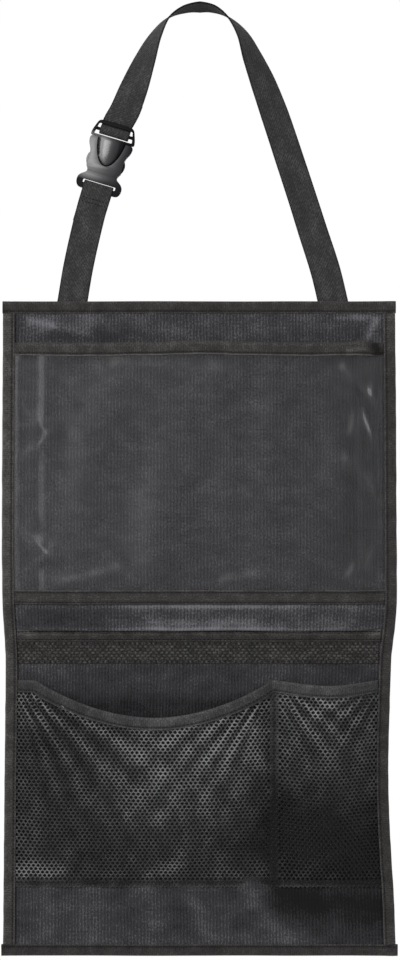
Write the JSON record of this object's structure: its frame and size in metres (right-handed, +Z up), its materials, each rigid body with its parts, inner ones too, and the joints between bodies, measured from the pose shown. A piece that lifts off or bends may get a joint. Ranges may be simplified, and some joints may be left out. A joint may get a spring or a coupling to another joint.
{
  "type": "car seat back organizer",
  "caption": "Hanging fabric panel with a clear window pocket and a net pocket in bays, on a webbing loop with a side-release buckle that goes over a car headrest.",
  "frame": {"origin": "middle of the panel's flat back face", "axes": "+Z up along the panel towards the strap, +Y out of the back, so the pockets face -Y"},
  "size_m": [0.3032, 0.06, 0.7304],
  "materials": {
    "ribbed_fabric": "matt, fine upright ribs",
    "binding_tape": "matt plain-weave tape",
    "clear_film": "clear, soft gloss",
    "knitted_strip": "coarse knit",
    "pocket_net": "matt knitted net",
    "webbing": "fine twill, slight sheen",
    "buckle_plastic": "glossy moulding"
  },
  "bodies": {
    "organizer": {"back_panel": "ribbed_fabric", "left_binding": "binding_tape", "right_binding": "binding_tape", "top_binding": "binding_tape", "bottom_binding": "binding_tape", "window_film": "clear_film", "window_mouth_hem": "binding_tape", "window_base_tape": "binding_tape", "window_gusset": "ribbed_fabric", "gusset_seam_tape": "binding_tape", "knit_strip": "knitted_strip", "net_pockets": "pocket_net", "net_mouth_binding": "binding_tape", "loop_strap": "webbing", "anchor_strap": "webbing", "buckle_socket": "buckle_plastic"},
    "plug_half": {"buckle_plug": "buckle_plastic"}
  },
  "joints": [
    {"name": "buckle_release", "type": "slide", "parent": "organizer", "child": "plug_half", "axis": [0.2874, 0, 0.9578], "range_m": [0, 0.024], "deforming": ["buckle_plug", "loop_strap"]}
  ]
}
